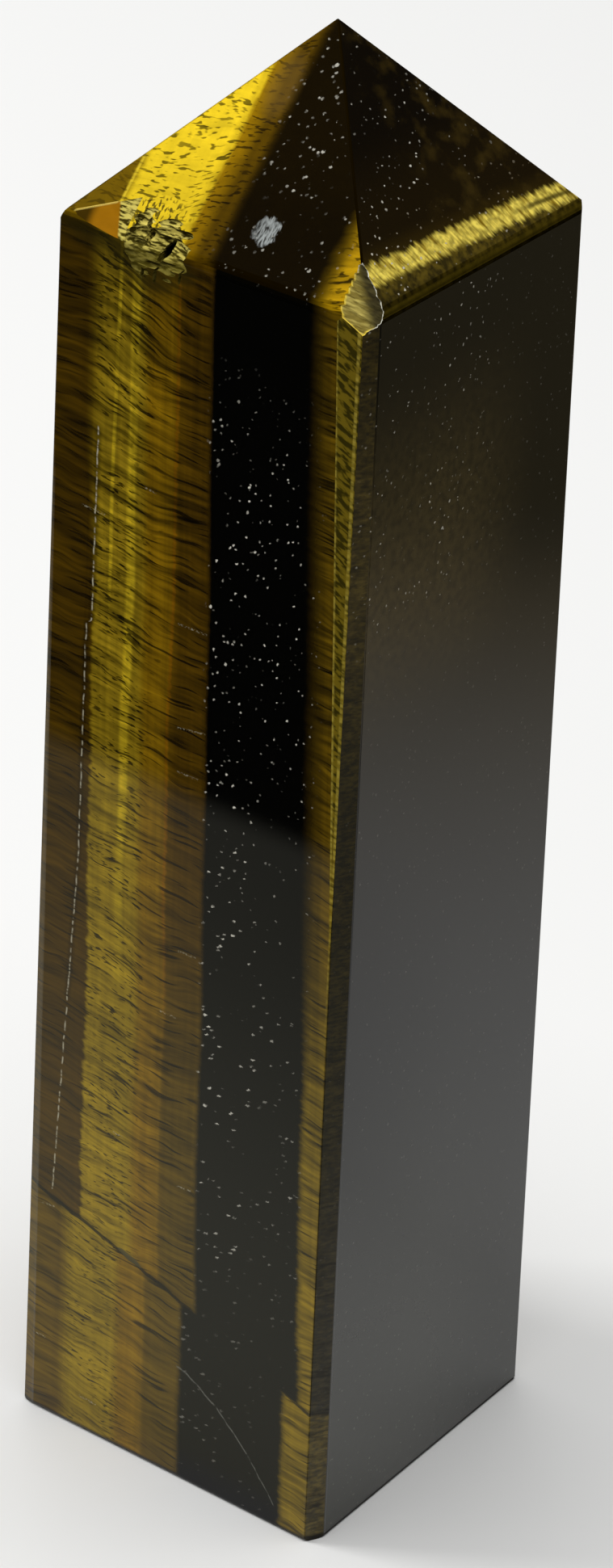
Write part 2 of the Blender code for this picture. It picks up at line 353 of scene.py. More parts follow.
wander = 0.10 * threads.cloud((2.0, 1.5, 0.35))
gold_place = layer + (GOLD_STARTS - POINT_GOLD_STARTS) * on_left_point + 1.5 * wander
soft_start = 0.14 + 0.65 * z.rise(54.0, 70.0) * (1.0 - on_point) + 0.25 * on_point + 0.45 * below_fault
gold_share = (gold_place - GOLD_STARTS - 0.25) / soft_start
gold_share = gold_share.rise(-1.0, 1.0)
deep_share = (layer + wander).rise(GOLD_DEEPENS - 0.3, GOLD_DEEPENS + 0.6)
amber_place = layer + wander + 0.35 * below_shoulder.rise(8.0, 32.0)
amber_share = amber_place.rise(AMBER_STARTS - 0.8, AMBER_STARTS + 0.9) * 0.55
amber_share = amber_share + 0.45 * amber_place.rise(AMBER_STARTS, AMBER_STARTS + 0.25)
black_place = (layer + 0.5 * wander - BLACK_STARTS) / (0.24 + 0.20 * on_point)
black_share = black_place.rise(-1.0, 1.0)
front_place = layer + 1.2 * wander - FRONT_GOLD_STARTS
front_place = front_place / (1.0 - 0.62 * below_shoulder.rise(30.0, 52.0))
front_share = front_place.rise(-0.45, 1.0)
on_right_round = on_shoulder_round * facing_x.rise(0.5, 0.7)
dark_side = (on_right_side + on_right_point + on_right_round).at_most(1.0)

brown = ink.blend(BROWN, LOW_BROWN, below_fault)
brown = ink.blend(brown, POINT_CORNER, on_left_point)
gold = ink.blend(OLIVE_GOLD, DEEP_GOLD, deep_share)
gold = ink.blend(gold, POINT_GOLD, on_left_point)
amber = ink.blend(AMBER_BROWN, LOW_AMBER, z.rise(44.0, 20.0))
point_amber = ink.blend(POINT_AMBER, POINT_BROWN, layer.rise(AMBER_STARTS + 0.4, AMBER_STARTS + 1.5))
amber = ink.blend(amber, point_amber, on_left_point)
black = ink.blend(BLACK, POINT_BLACK, on_point)
colour = ink.blend(brown, gold, gold_share)
point_amber_share = on_left_point * layer.rise(AMBER_STARTS, AMBER_STARTS + 0.35)
colour = ink.blend(colour, amber, amber_share.at_least(point_amber_share))
colour = ink.blend(colour, black, black_share)
strip = ink.blend(FRONT_GOLD, LOW_FRONT_GOLD, below_shoulder.rise(32.0, 54.0))
strip = ink.blend(strip, POINT_STRIP, on_left_point)
strip_depth = layer.rise(FRONT_GOLD_STARTS, FRONT_GOLD_STARTS + 1.5)
strip_depth = strip_depth.at_least(below_shoulder.rise(34.0, 54.0))
colour = ink.blend(colour, strip, front_share * (0.45 + 0.55 * strip_depth))

# The wide chamfer is fuzzy brown. The right side is black, with a painted grey reflection of the pale table
# low down and a painted brown reflection above
fuzz = place.cloud((0.4, 0.4, 0.18)).rise(-0.9, 0.9)
chamfer = ink.dim(ink.blend(CHAMFER_DARK, CHAMFER_BROWN, fuzz), 1.0 + 0.6 * z.rise(46.0, 62.0))
chamfer = ink.blend(chamfer, ink.blend(CHAMFER_BROWN, CHAMFER_OLIVE, fuzz), below_fault)
colour = ink.blend(colour, chamfer, on_chamfer)
side_mottle = place.cloud((0.0, 0.5, 0.5), 3.0, (2.0, 0.0, 0.0)).rise(-1.0, 0.8)
# Painted reflection of the pale table, strongest at the base and towards the front
side_table_reflection = z.rise(44.0, 2.0) * (1.0 - 0.45 * y.rise(-2.0, 9.0)) * (0.95 + 0.05 * side_mottle)
side = ink.blend(BLACK, SIDE_REFLECTED_GREY, side_table_reflection)
# Painted brown reflection high on the side, strongest towards the front
side_brown_reflection = z.between(57.0, 70.0, 6.0) * y.rise(7.0, -2.0) * (0.35 + 0.65 * side_mottle)
side = ink.blend(side, SIDE_REFLECTED_BROWN, 0.9 * side_brown_reflection)
colour = ink.blend(colour, side, on_right_side)
silky = (1.0 - black_share + front_share) * (1.0 - dark_side)

# Bright seams in the gold, the thin orange one at its border, and the fine upright bands between them
THIN_SEAM = -6.52
THIN_SEAM_LEAN = 0.03
WIDE_SEAM = -5.48
WIDE_SEAM_LEAN = 0.014
ORANGE_SEAM = -2.70
CORNER_SEAM = -7.35
SEAM_GOLD = linear(222, 190, 36)
SEAM_ORANGE = linear(140, 88, 4)
CORNER_GOLD = linear(190, 165, 40)

seam_wave = 0.05 * place.cloud((0.0, 3.0, 5.0), 0.0, (8.0, 0.0, 0.0))
thin_seam = (layer - THIN_SEAM + THIN_SEAM_LEAN * below_shoulder + seam_wave).line(0.04, 0.14)
thin_seam = thin_seam * z.rise(55.0, 60.0)
wide_seam = (layer - WIDE_SEAM + WIDE_SEAM_LEAN * below_shoulder + seam_wave).line(0.14, 0.26)
wide_seam = wide_seam * z.rise(30.0, 46.0)
orange_seam = (amber_place - ORANGE_SEAM + seam_wave).line(0.03, 0.13) * z.rise(28.0, 40.0)
seams = thin_seam + wide_seam
seams = seams * place.cloud((0.0, 4.0, 7.0), 0.0, (2.0, 0.0, 0.0)).rise(-1.6, -0.2) * (1.0 - on_point)
upright = ink.vector(layer, 6.0, z).cloud((0.42, 1.0, 26.0)) * (1.0 - 0.6 * on_point)
upright = upright * layer.rise(-9.6, -8.2)
upright = upright * (1.0 - 0.30 * z.rise(58.0, 44.0) - 0.25 * z.rise(30.0, 10.0))
colour = ink.blend(colour, SEAM_GOLD, 0.72 * seams * silky)
colour = ink.blend(colour, SEAM_ORANGE, 0.55 * orange_seam * silky * (1.0 - on_point))
colour = ink.dim(colour, 1.0 + 0.26 * upright * silky)
colour = ink.dim(colour, 1.0 - 0.24 * z.rise(69.0, 77.0) * (1.0 - on_point) * silky)
corner_line = (layer - CORNER_SEAM).line(0.02, 0.12) * on_left_point * z.rise(83.0, 82.0)
colour = ink.blend(colour, CORNER_GOLD, 0.5 * corner_line)

# Along the fibres: soft shading in three sizes, thin dark cuts, and short dashes in the gold
SOFT_STREAK = (8.0, 3.0, 0.95)
MIDDLE_STREAK = (4.0, 1.2, 0.34)
FINE_STREAK = (1.8, 0.7, 0.11)
CUT = (3.2, 1.2, 0.23)
BLOT = (0.9, 0.9, 0.30)
DASH = (0.62, 0.45, 0.14)
DARKEST_STREAK = 0.22

on_brown = layer.rise(GOLD_STARTS + 0.5, GOLD_STARTS - 0.1)
on_strip = front_share * (1.0 - on_point)
upper = z.rise(45.0, 62.0) * (1.0 - on_point)
soft = threads.cloud(SOFT_STREAK, 1.0)
middle = threads.cloud(MIDDLE_STREAK, 1.0)
fine = threads.cloud(FINE_STREAK, 0.0)
shading = (0.30 + 0.16 * upper) * soft
shading = shading + (0.36 + 0.18 * upper + 0.25 * on_strip) * middle * (1.0 + 0.15 * on_brown)
shading = shading + 0.12 * fine
smooth_point = on_left_point * (1.0 - front_share)
shading = shading * (1.0 - 0.80 * smooth_point)
patch = threads.cloud((3.5, 4.0, 1.6), 1.0)
cuts = threads.cloud(CUT, 1.0).rise(0.20, 0.72) * patch.rise(-0.9, 0.1)
blots = threads.cloud(BLOT).rise(0.55, 0.95) * layer.between(-8.6, -3.2, 0.6)
cuts = cuts.at_least(0.55 * blots * (1.0 - on_point))
cuts = cuts * (1.0 - 0.2 * on_brown) * (1.0 - 0.85 * smooth_point)
dashes = threads.cloud(DASH, 1.0) + 0.10 * on_left_point
dashes = dashes.rise(0.33, 0.70) * patch.rise(-0.8, 0.2).at_least(0.8 * on_left_point)
dash_room = layer.between(-8.2, -4.4, 0.5) * (1.0 - on_point) + on_left_point * (0.5 + 0.4 * gold_share)
dashes = dashes * dash_room
marks = (0.80 * cuts + 0.85 * dashes).at_most(0.90) * silky
colour = ink.dim(colour, (1.0 + shading * silky).at_least(DARKEST_STREAK))
colour = ink.dim(colour, 1.0 - marks)

# Under the shoulder the gold is dull and green, most of all below the hollow. Dark squiggles run above it
DULL_GREEN = linear(44, 38, 9)
SQUIGGLE_GREEN = linear(40, 34, 8)
UNDER_HOLLOW = ((-4.6, 77.9), (2.9, 1.5))
OVER_HOLLOW = ((-4.9, 80.0), (2.2, 1.15))

on_left_face = facing_y.rise(-0.9, -0.99)
dull = (z + 0.8 * patch + 0.25 * (x + 6.0)).rise(75.8, 78.3) * x.rise(-2.0, -5.0) * on_left_face
under_hollow = (oval(x, z, *UNDER_HOLLOW) + 0.4 * middle).rise(1.3, 0.4) * on_left_face
dull = dull.at_least(0.9 * under_hollow)
colour = ink.blend(colour, DULL_GREEN, 0.82 * dull * silky)
squiggles = place.cloud((0.22, 0.0, 0.30), 1.0, (0.0, 8.0, 0.0)).rise(0.10, 0.45)
squiggles = squiggles * oval(x, z, *OVER_HOLLOW).rise(1.1, 0.5) * on_left_point
colour = ink.blend(colour, SQUIGGLE_GREEN, 0.85 * squiggles)

# White specks in the black layers, thickest beside the gold, and longer in the lower half
SMALL_SPECK_CELL = (0.48, 0.48, 0.40)
SMALL_SPECK = 0.175
LARGE_SPECK_CELL = (1.1, 1.1, 0.85)
LARGE_SPECK = 0.092
SPECK_WHITE = linear(212, 208, 194)

stretch = 1.0 + 0.9 * below_shoulder.rise(25.0, 50.0)
thick = layer.rise(6.0, -0.5)
speck_z = z - 0.3 * x + 0.06 * place.cloud((0.14, 0.14, 0.14), 1.0)
speck_place = ink.vector(x / stretch, y, speck_z)
small_specks = speck_place.specks(SMALL_SPECK_CELL, SMALL_SPECK + 0.05 * thick + 0.035 * on_point)
large_reach = LARGE_SPECK + 0.03 * thick + 0.03 * on_point
large_specks = speck_place.specks(LARGE_SPECK_CELL, large_reach, (7.0, 0.0, 0.0))
speck_room = place.cloud((3.0, 3.0, 6.0), 1.0).rise(-0.9, 0.1)
by_height = (z.rise(75.0, 67.0) * z.rise(10.0, 24.0)).at_least(on_point)
speck_room = speck_room * by_height.at_least(0.22 * z.rise(30.0, 10.0))
speck_room = speck_room * (1.0 - 0.55 * layer.rise(0.8, 4.5) * z.rise(52.0, 42.0))
speck_room = speck_room * (1.0 - 0.45 * on_left_point)
speck_room = speck_room * (black_share * (1.0 - front_share)).at_least(on_right_point)
speck_room = speck_room * (1.0 - 0.6 * on_right_point * y.rise(0.0, 5.0))
side_specks = y.rise(6.0, -4.0) * z.rise(54.0, 66.0)
side_specks = side_specks * place.cloud((0.0, 4.0, 4.0), 0.0, (4.0, 0.0, 0.0)).rise(-0.9, 0.5)
side_specks = on_right_side * (0.80 * side_specks).at_least(0.10)
faint = place.cloud((0.4, 0.4, 0.4), 0.0).rise(-0.8, 0.8)
white_specks = (small_specks * faint + large_specks).at_most(1.0) * (speck_room + side_specks)
colour = ink.blend(colour, SPECK_WHITE, white_specks)

# The point's right facet: brown above, the ruffled gold band, and an olive border below it
BAND_HEIGHT = 80.45
BAND_SLOPE = 0.035
BAND_SLOPE_FROM = -7.0
BAND_BEND = 0.004
BAND_BEND_FROM = 3.0
BAND_LOW_EDGE = -0.36
BAND_HIGH_EDGE = 0.42
NEAR_BAND = linear(46, 34, 3)
OVER_BAND = linear(27, 18, 1)
TOP_OF_FACET = linear(13, 7, 0)
BROWN_MIST = linear(62, 48, 12)
UNDER_BAND = linear(52, 43, 11)
UNDER_BAND_GOLD = linear(96, 80, 22)
RIBBON_DARK = linear(132, 106, 18)
RIBBON_BRIGHT = linear(252, 228, 98)
RIBBON_SPLIT = linear(66, 56, 14)
RIDGE_BROWN = linear(20, 13, 1)

past_bend = (y - BAND_BEND_FROM).at_least(0.0)
band_drop = BAND_SLOPE * (y - BAND_SLOPE_FROM) + BAND_BEND * past_bend * past_bend
over_band = z - BAND_HEIGHT + band_drop
leaning = ink.vector(y + 0.5 * z, 0.0, z)
ruffle = leaning.cloud((0.42, 0.0, 2.0), 2.0, (0.0, 5.0, 0.0))
frill = leaning.cloud((0.13, 0.0, 1.2), 1.0, (0.0, 2.0, 0.0))
band = (over_band + 0.15 * ruffle + 0.07 * frill).between(BAND_LOW_EDGE, BAND_HIGH_EDGE, 0.15)
ridges = leaning.cloud((0.26, 0.0, 0.9), 2.0, (0.0, 9.0, 0.0)).rise(-0.9, 0.6)
split = over_band.line(0.02, 0.14) * y.rise(3.5, 6.0)
brown_glow = (over_band - 0.4).at_least(0.0)
above = ink.blend(NEAR_BAND, OVER_BAND, brown_glow.rise(0.0, 0.9))
above = ink.blend(above, TOP_OF_FACET, brown_glow.rise(1.5, 5.0))
mist = place.cloud((1.3, 1.3, 1.3), 4.0).rise(-0.1, 0.9) * y.rise(-3.0, 2.0)
above = ink.blend(above, BROWN_MIST, 0.7 * mist)
mottle = place.cloud((0.7, 0.45, 0.40)).rise(-0.7, 0.7)
below = ink.blend(UNDER_BAND, UNDER_BAND_GOLD, mottle)
below = ink.dim(below, 1.0 - 0.55 * over_band.rise(-0.7, -1.3))
facet = ink.blend(below, above, over_band.rise(-0.1, 0.1))
ribbon = ink.blend(RIBBON_DARK, RIBBON_BRIGHT, ridges)
ribbon = ink.dim(ribbon, 0.62 + 0.55 * place.cloud((0.0, 0.5, 0.3), 2.0, (3.0, 0.0, 0.0)).rise(-0.8, 0.5))
ribbon = ink.blend(ribbon, RIBBON_SPLIT, 0.8 * split)
facet = ink.blend(facet, ribbon, band)
colour = ink.blend(colour, facet, on_right_point * (1.0 - white_specks))
colour = ink.blend(colour, ink.dim(below, 0.15 + 0.45 * facing_z.rise(0.1, 0.6)), on_right_round)
colour = ink.blend(colour, RIDGE_BROWN, on_ridge * facing_x.rise(0.1, 0.2) * facing_y.rise(-0.1, -0.2))

# Painted glints along the front strip's edges, and the dark green marks in the narrow facet beside the
# chamfer
SLIVER_STARTS = 7.42
SLIVER_SPREAD = 0.054
CHAMFER_STARTS = 8.80
CHAMFER_SPREAD = 0.0199
SLIVER_GOLD = linear(142, 121, 30)
SLIVER_GREEN = linear(40, 38, 10)
EDGE_GLINT_GOLD = linear(214, 190, 78)

sliver_edge = x - SLIVER_STARTS - SLIVER_SPREAD * below_shoulder
chamfer_edge = x - CHAMFER_STARTS - CHAMFER_SPREAD * below_shoulder
# Painted glints: thin bright lines along the sliver's edge and beside the chamfer, broken into dashes
edge_glint = 0.8 * sliver_edge.between(-0.02, 0.12, 0.06) * on_sliver
chamfer_edge_glint = 0.8 * chamfer_edge.between(-0.12, 0.05, 0.04) * (on_left_face + on_sliver).at_most(1.0)
edge_glint = edge_glint.at_least(chamfer_edge_glint)
edge_glint = edge_glint * (0.2 + 0.8 * threads.cloud((1.5, 0.0, 0.30), 2.0, (0.0, 4.0, 0.0)).rise(-0.5, 0.5))
slanting = ink.vector(x + 0.5 * z, 0.0, z + 0.5 * x)
green_marks = slanting.cloud((0.55, 0.0, 0.32), 2.0, (0.0, 7.0, 0.0)).rise(-0.25, 0.25)
sliver = ink.blend(SLIVER_GOLD, SLIVER_GREEN, 0.85 * green_marks)
colour = ink.blend(colour, sliver, on_sliver * z.rise(44.0, 50.0) * (1.0 - broken))
colour = ink.blend(colour, EDGE_GLINT_GOLD, edge_glint * z.rise(33.0, 46.0))

# The fault's dark line, the widened place on it, the upright crack, and a hair crack near the base
PIT = ((-3.3, 0.10), (0.95, 0.22))
PIT_GREY = linear(84, 78, 48)
CRACK_PLACE = -7.75
CRACK_STEP = 0.37
CRACK_STEP_HEIGHT = 55.2
CRACK_STEP_SOFT = 0.2
CRACK_BENDS_BELOW = 40.0
CRACK_LEAN = 0.045
CRACK_FOOT = 16.4
CRACK_TOP = 67.3
CRACK_WHITE = linear(212, 204, 178)
HAIR_PLACE = 0.6
HAIR_HEIGHT = 8.1
HAIR_SLOPE = 0.35
HAIR_BEND = 0.072
HAIR_GREY = linear(128, 128, 120)

fault_line = over_fault.line(0.06, 0.12)
fault_shade = over_fault.between(-0.02, 0.30, 0.15)
colour = ink.dim(colour, 1.0 - 0.85 * (fault_line + 0.35 * fault_shade).at_most(1.0) * silky)
pit = oval(x, over_fault, *PIT).rise(1.1, 0.7)
colour = ink.blend(colour, PIT_GREY, 0.8 * pit * on_left_face)
crack_step = z.rise(CRACK_STEP_HEIGHT + CRACK_STEP_SOFT, CRACK_STEP_HEIGHT - CRACK_STEP_SOFT)
crack_place = x - CRACK_PLACE + CRACK_STEP * crack_step + CRACK_LEAN * (CRACK_BENDS_BELOW - z).at_least(0.0)
crack_place = crack_place + 0.06 * place.cloud((0.0, 0.0, 1.2), 2.0, (1.0, 3.0, 0.0))
crack = crack_place.line(0.015, 0.06) * z.between(CRACK_FOOT, CRACK_TOP, 0.1)
crack = crack * place.cloud((0.0, 0.0, 0.5), 3.0, (5.0, 1.0, 0.0)).rise(-0.25, 0.25) * on_left_face
crack_shade = crack_place.line(0.08, 0.25) * z.between(30.0, CRACK_TOP, 0.5) * on_left_face
colour = ink.dim(colour, 1.0 - 0.35 * crack_shade)
colour = ink.blend(colour, CRACK_WHITE, (0.75 + 0.20 * z.rise(54.0, 57.0)) * crack)
hair_x = x - HAIR_PLACE
hair = z - HAIR_HEIGHT + HAIR_SLOPE * hair_x + HAIR_BEND * hair_x * hair_x
hair = hair + 0.10 * place.cloud((0.8, 0.0, 0.0), 2.0, (0.0, 2.0, 2.0))
hair = hair.line(0.02, 0.09) * x.between(0.5, 8.1, 0.1) * z.between(1.5, 8.3, 0.1) * on_left_face
hair = hair * place.cloud((0.4, 0.0, 0.4), 1.0, (0.0, 9.0, 0.0)).rise(-0.9, 0.2)
colour = ink.blend(colour, HAIR_GREY, 0.5 * hair)

# A few short scratches, as (x, z, half length, rise of Z along X), and the rubbed white spot on the point
SCRATCHES = (
    (-7.9, 62.2, 0.75, -0.05), (-4.1, 64.7, 0.35, -0.15), (-0.8, 57.3, 0.95, 0.0), (-0.6, 51.0, 0.9, 0.15),
    (-0.7, 48.1, 0.7, 0.0), (-0.2, 36.6, 0.6, 0.03), (-1.4, 32.1, 0.6, 0.0), (-4.5, 22.4, 0.35, -0.1),
    (0.4, 20.8, 0.45, 0.1), (-9.5, 15.2, 0.5, 0.1), (-9.7, 5.5, 0.3, 0.0), (-6.0, 2.4, 0.6, -0.05),
)
SCRATCH_PALE = linear(186, 178, 150)
RUB = ((1.3, 81.05), (0.80, 0.62))
RUB_WHITE = linear(190, 196, 194)
HAZE = ((-1.75, 86.7), (1.1, 1.7))
HAZE_BROWN = linear(76, 58, 24)

scratch_break = place.cloud((0.16, 0.0, 0.12), 1.0, (0.0, 3.0, 0.0)).rise(-0.2, 0.5)
for scratch_x, scratch_z, half_length, climb in SCRATCHES:
    from_middle = x - scratch_x
    scratch = (z - scratch_z - climb * from_middle).line(0.02, 0.07) * from_middle.line(half_length, 0.1)
    colour = ink.blend(colour, SCRATCH_PALE, 0.65 * scratch * scratch_break * on_left_face)
rub = (oval(x, z, *RUB) + 0.5 * place.cloud((0.35, 0.0, 0.35), 2.0, (0.0, 4.0, 0.0))).rise(1.1, 0.6)
rub = rub * place.cloud((0.12, 0.0, 0.30), 2.0, (0.0, 6.0, 0.0)).rise(-0.8, 0.4) * on_left_point
rub = rub * (0.35 + 0.65 * x.rise(0.4, 1.4))
colour = ink.blend(colour, RUB_WHITE, 0.62 * rub)
haze = oval(x, z, *HAZE).rise(1.2, 0.1) * on_left_point
colour = ink.blend(colour, HAZE_BROWN, 0.40 * haze)

# Broken stone: pale torn fibre ends in the hollow, painted shade where it lies deepest, fine ledges in the
# front chip, painted highlights along the sharp rims, and the orange flat chip with a painted highlight along
# its upper rim
HOLLOW_GREEN = linear(58, 50, 13)
HOLLOW_PALE = linear(206, 190, 94)
HOLLOW_LOW = linear(80, 71, 20)
HOLLOW_SLOT_SHADE = linear(10, 11, 8)
CHIP_OLIVE = linear(134, 118, 54)
CHIP_GOLD = linear(204, 186, 100)
CHIP_GREY = linear(40, 37, 28)
# Painted highlight colours for the rims
RIM_HIGHLIGHT_YELLOW = linear(244, 216, 84)
RIM_GLINT_WHITE = linear(236, 234, 218)
ORANGE_DARK = linear(62, 45, 5)
ORANGE = linear(150, 101, 12)
RIM_HIGHLIGHT_OLIVE = linear(190, 166, 80)
GREY_SIDE_STARTS = 8.0
GREY_SIDE_HEIGHT = 79.5
GREY_SIDE_LEAN = 0.75
ORANGE_END = -6.85
ORANGE_END_LEAN = 0.5
ORANGE_FOOT = 78.7
CHIP_RIM_LEFT = -10.05
CHIP_RIM_RIGHT = -7.8
CHIP_RIM_LOW = 79.32
CHIP_RIM_CLIMB = 0.389

by_front = x.rise(4.0, 5.0)
flat_chip = (x + ORANGE_END_LEAN * (z - ORANGE_FOOT)).rise(ORANGE_END, ORANGE_END - 0.15)
flat_chip = flat_chip * z.rise(ORANGE_FOOT - 0.2, ORANGE_FOOT)
torn = place.cloud((0.60, 0.25, 0.13))
hollow = ink.blend(HOLLOW_GREEN, HOLLOW_PALE, torn.rise(-0.45, 0.35))
hollow = ink.blend(hollow, HOLLOW_LOW, 0.8 * (z + 0.4 * torn).rise(79.0, 78.3))
# Painted shade: the hollow is darkened where it lies deepest below the polished planes
hollow = ink.blend(hollow, HOLLOW_SLOT_SHADE, depth.rise(0.70, 1.00))
ledges = ink.vector(x, y, z + 0.3 * x).cloud((2.2, 1.2, 0.15))
front_chip = ink.blend(CHIP_OLIVE, CHIP_GOLD, ledges.rise(-0.6, 0.5))
grey_side = x + GREY_SIDE_LEAN * (z - GREY_SIDE_HEIGHT) + 0.15 * ledges
grey_side = grey_side.rise(GREY_SIDE_STARTS, GREY_SIDE_STARTS + 0.6)
front_chip = ink.blend(front_chip, CHIP_GREY, 0.9 * grey_side)
# Painted highlights: thin bright lines where the broken face meets the polish, yellow, and white on the grey
# side
front_chip = ink.blend(front_chip, RIM_HIGHLIGHT_YELLOW, depth.rise(0.10, 0.03) * (1.0 - grey_side))
front_chip = ink.blend(front_chip, RIM_GLINT_WHITE, depth.rise(0.06, 0.02) * grey_side)
break_colour = ink.blend(hollow, front_chip, by_front)
orange = ink.blend(ORANGE_DARK, ORANGE, x.rise(-9.3, -8.6))
break_colour = ink.blend(break_colour, orange, flat_chip)
colour = ink.blend(colour, break_colour, broken)
# A painted highlight along the flat chip's upper edge
upper_rim_highlight = z - CHIP_RIM_LOW - CHIP_RIM_CLIMB * (x - CHIP_RIM_LEFT)
upper_rim_highlight = upper_rim_highlight.between(-0.06, 0.03, 0.02) * x.between(CHIP_RIM_LEFT, CHIP_RIM_RIGHT, 0.1)
colour = ink.blend(colour, RIM_HIGHLIGHT_OLIVE, 0.7 * upper_rim_highlight * facing_y.rise(0.0, -0.1))
# Darkened along the base: the downward-facing edge is unpolished dark stone, and the lowest half millimetre
# of the sides is a painted contact shadow
colour = ink.dim(colour, 1.0 - 0.85 * on_base_edge.at_least(z.rise(0.45, 0.25)))

# Painted sheen on the point's left facet: its colour is brightened, most towards the tip, for the light its
# fibres send straight back
glow_wobble = place.cloud((0.9, 0.6, 0.5), 3.0)
colour = ink.dim(colour, 1.0 + (0.26 * z.rise(81.5, 84.5) + 0.10 * glow_wobble) * on_left_point)
colour = ink.dim(colour, 1.0 + 0.50 * on_left_point * silky * (1.0 - broken) * (1.0 - black_share))

# The polish: a clear gloss over everything but the rough breaks, the ridges and the rounded shoulders, and
# little of it on the chamfer. The silky fibres below it shine a little like metal
QUARTZ_IOR = 1.54
FIBRE_SHEEN = 0.45
POLISH_ROUGHNESS = 0.03

rough_break = broken * (1.0 - flat_chip)
tree.links.new(colour.socket, shader.inputs["Base Color"])
tree.links.new((FIBRE_SHEEN * silky * (1.0 - broken)).socket, shader.inputs["Metallic"])
tree.links.new((0.16 + 0.26 * silky + 0.3 * rough_break).socket, shader.inputs["Roughness"])
glossy = (1.0 - rough_break) * (1.0 - on_ridge.at_least(on_shoulder_round))
glossy = glossy * (1.0 - 0.8 * on_chamfer * (1.0 - on_right_side))
tree.links.new(glossy.socket, shader.inputs["Coat Weight"])
shader.inputs["IOR"].default_value = QUARTZ_IOR
shader.inputs["Coat IOR"].default_value = QUARTZ_IOR
shader.inputs["Coat Roughness"].default_value = POLISH_ROUGHNESS
shader.inputs["Specular IOR Level"].default_value = 0.0
stone_mesh.materials.append(material)
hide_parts(STONE_NODE)
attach(stone, "root")

# The table is a plain pale board, larger than the view. A dark sheet around it at a distance is seen only in
# reflections, where it paints the dark part of what the polished sides mirror: the stone's left side ends in
# a straight line, its right side fades.

TABLE_SIZE = 6.0
TABLE_DROP = 0.02 * MM
TABLE_PALE = (0.80, 0.80, 0.79, 1.0)
TABLE_ROUGHNESS = 0.9
SHEET_LIFT = 0.02 * MM
FRONT_EDGE = -75.0
FRONT_EDGE_SOFT = 2.0
AWAY_X = 0.67
AWAY_Y = 0.74
REFLECTED_BLACK = (0.004, 0.004, 0.004, 1.0)
REFLECTED_BROWN = (0.20, 0.15, 0.06, 1.0)
REFLECTED_DARK_BROWN = (0.12, 0.10, 0.055, 1.0)
CLEAR = (1.0, 1.0, 1.0, 1.0)
WARM_REFLECTION_TINT = (1.0, 0.99, 0.82, 1.0)


def board(name, size, height):
    """A thin square sheet, lying flat at a height, that isn't part of the object."""
    mesh = bpy.data.meshes.new(name)
    bm = bmesh.new()
    lifted = Matrix.Translation((0, 0, height))
    bmesh.ops.create_grid(bm, x_segments=1, y_segments=1, size=size / 2, matrix=lifted)
    bm.to_mesh(mesh)
    bm.free()
    made = bpy.data.objects.new(name, mesh)
    bpy.context.scene.collection.objects.link(made)
    return made


table = board("table", TABLE_SIZE, -TABLE_DROP)
table_material = bpy.data.materials.new("pale_table")
table_material.use_nodes = True
table_shader = table_material.node_tree.nodes["Principled BSDF"]
table_shader.inputs["Base Color"].default_value = TABLE_PALE
table_shader.inputs["Roughness"].default_value = TABLE_ROUGHNESS
table_shader.inputs["Specular IOR Level"].default_value = 0.0
table.data.materials.append(table_material)

reflection_sheet = board("dark_reflection_sheet", TABLE_SIZE, SHEET_LIFT)
reflection_sheet_material = bpy.data.materials.new("dark_reflection_sheet")
reflection_sheet_material.use_nodes = True
reflection_sheet_tree = reflection_sheet_material.node_tree
reflection_sheet_tree.nodes.clear()
sheet_ink = Shade(reflection_sheet_tree)
spot = sheet_ink.node("ShaderNodeTexCoord", {}, {}, "Object").grain((MM, MM, MM))
spot_x = spot.part("X")
spot_y = spot.part("Y")
# Painted reflection: how much of the mirrored table shows through in front, in graded shares that dim it
front_bare = 0.235 + 0.335 * spot_y.rise(-74.0, -14.0) + 0.43 * spot_y.rise(-12.0, 0.0)
front_bare = front_bare * spot_y.rise(FRONT_EDGE - FRONT_EDGE_SOFT, FRONT_EDGE + FRONT_EDGE_SOFT)
# Painted reflection behind and to the right: the mirrored table fades with distance
away = spot_x * AWAY_X + spot_y * AWAY_Y
back_bare = away.rise(140.0, 60.0) * (1.0 - 0.35 * away.rise(0.0, 70.0))
covered = 1.0 - front_bare * back_bare
# Painted reflection colours of the sheet: black near the stone, browner further away
dye = sheet_ink.blend(REFLECTED_BLACK, REFLECTED_BROWN, away.rise(40.0, 100.0))
dye = sheet_ink.blend(dye, REFLECTED_DARK_BROWN, away.rise(112.0, 135.0))
dark_reflection = sheet_ink.node("ShaderNodeBsdfDiffuse", {}, {"Color": dye}, "BSDF")
# Painted warm reflection: the mirrored table is tinted warm in front, where the left side mirrors it
warm_reflection_tint = sheet_ink.blend(CLEAR, WARM_REFLECTION_TINT, spot_y.rise(-11.0, -14.0))
bare = sheet_ink.node("ShaderNodeBsdfTransparent", {}, {"Color": warm_reflection_tint}, "BSDF")
layered = {"Fac": covered, "Shader": bare, "Shader_001": dark_reflection}
mixed = sheet_ink.node("ShaderNodeMixShader", {}, layered, "Shader")
reflection_sheet_output = reflection_sheet_tree.nodes.new("ShaderNodeOutputMaterial")
reflection_sheet_tree.links.new(mixed.socket, reflection_sheet_output.inputs["Surface"])
reflection_sheet.data.materials.append(reflection_sheet_material)
reflection_sheet.visible_camera = False
reflection_sheet.visible_diffuse = False
reflection_sheet.visible_shadow = False
reflection_sheet.visible_transmission = False

# Soft studio light: a broad panel straight overhead lights the table evenly, and a smaller one at the upper
# left makes the point's left facet glow. Sizes and places are in metres, powers in watts.

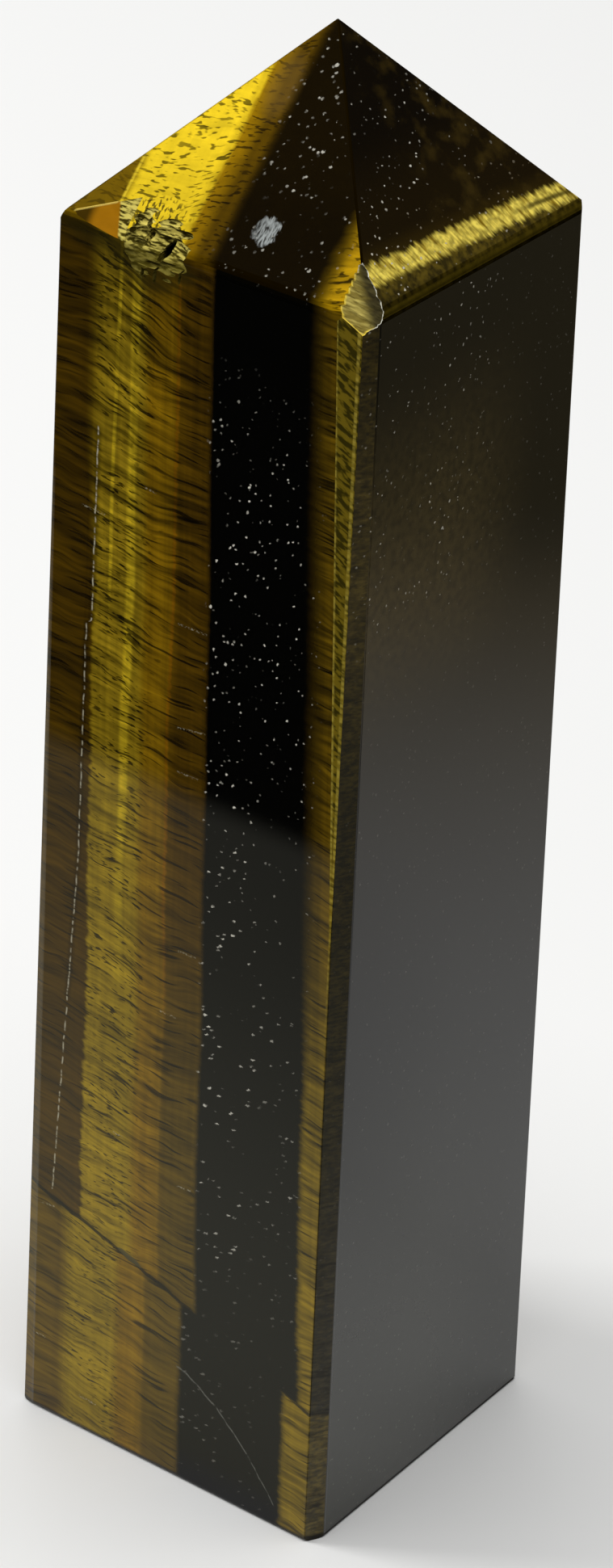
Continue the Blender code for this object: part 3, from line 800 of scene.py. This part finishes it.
WORLD_LIGHT = 0.03
OVERHEAD_PLACE = Vector((0.0, 0.0, 1.5))
OVERHEAD_SIZE = 1.3
OVERHEAD_POWER = 24.0
KEY_DIRECTION = Vector((-0.75, -0.35, 0.56))
KEY_DISTANCE = 0.7
KEY_SIZE = 0.22
KEY_POWER = 2.4
LIT_PLACE = Vector((0.0, 0.0, 0.05))


def panel(name, position, size, power):
    """A square lamp that faces the stone."""
    light = bpy.data.lights.new(name, "AREA")
    light.size = size
    light.energy = power
    made = bpy.data.objects.new(name, light)
    made.location = position
    made.rotation_euler = (LIT_PLACE - position).to_track_quat("-Z", "Y").to_euler()
    bpy.context.scene.collection.objects.link(made)


panel("overhead_panel", OVERHEAD_PLACE, OVERHEAD_SIZE, OVERHEAD_POWER)
panel("key_panel", KEY_DIRECTION.normalized() * KEY_DISTANCE, KEY_SIZE, KEY_POWER)
world = bpy.data.worlds.new("studio")
world.use_nodes = True
world.node_tree.nodes["Background"].inputs["Color"].default_value = (1.0, 1.0, 1.0, 1.0)
world.node_tree.nodes["Background"].inputs["Strength"].default_value = WORLD_LIGHT
bpy.context.scene.world = world
bpy.context.scene.view_settings.view_transform = "Standard"

# The camera looks down on the tower's front corner from about 30 degrees above the table.

VIEW_AZIMUTH = math.radians(34.648)
VIEW_ELEVATION = math.radians(30.613)
VIEW_ROLL = math.radians(3.277)
VIEW_DISTANCE = 299.29 * MM
VIEW_TARGET = Vector((0.175, 0.0, 45.0)) * MM
VIEW_ASIDE = -0.271 * MM
VIEW_ALOFT = -1.601 * MM
FOCAL_PIXELS = 6500.0
PHOTO_HEIGHT = 1941.0
SENSOR = 36.0
NEAREST_SEEN = 0.01

back = Vector((
    math.sin(VIEW_AZIMUTH) * math.cos(VIEW_ELEVATION),
    -math.cos(VIEW_AZIMUTH) * math.cos(VIEW_ELEVATION),
    math.sin(VIEW_ELEVATION),
))
level = Vector((math.cos(VIEW_AZIMUTH), math.sin(VIEW_AZIMUTH), 0.0))
steep = back.cross(level)
aside = math.cos(VIEW_ROLL) * level + math.sin(VIEW_ROLL) * steep
aloft = -math.sin(VIEW_ROLL) * level + math.cos(VIEW_ROLL) * steep
camera_data = bpy.data.cameras.new("camera")
camera_data.sensor_width = SENSOR
camera_data.lens = FOCAL_PIXELS / PHOTO_HEIGHT * SENSOR
camera_data.clip_start = NEAREST_SEEN
camera = bpy.data.objects.new("camera", camera_data)
position = VIEW_TARGET + back * VIEW_DISTANCE + aside * VIEW_ASIDE + aloft * VIEW_ALOFT
camera.matrix_world = Matrix.Translation(position) @ Matrix((aside, aloft, back)).transposed().to_4x4()
bpy.context.scene.collection.objects.link(camera)
bpy.context.scene.camera = camera
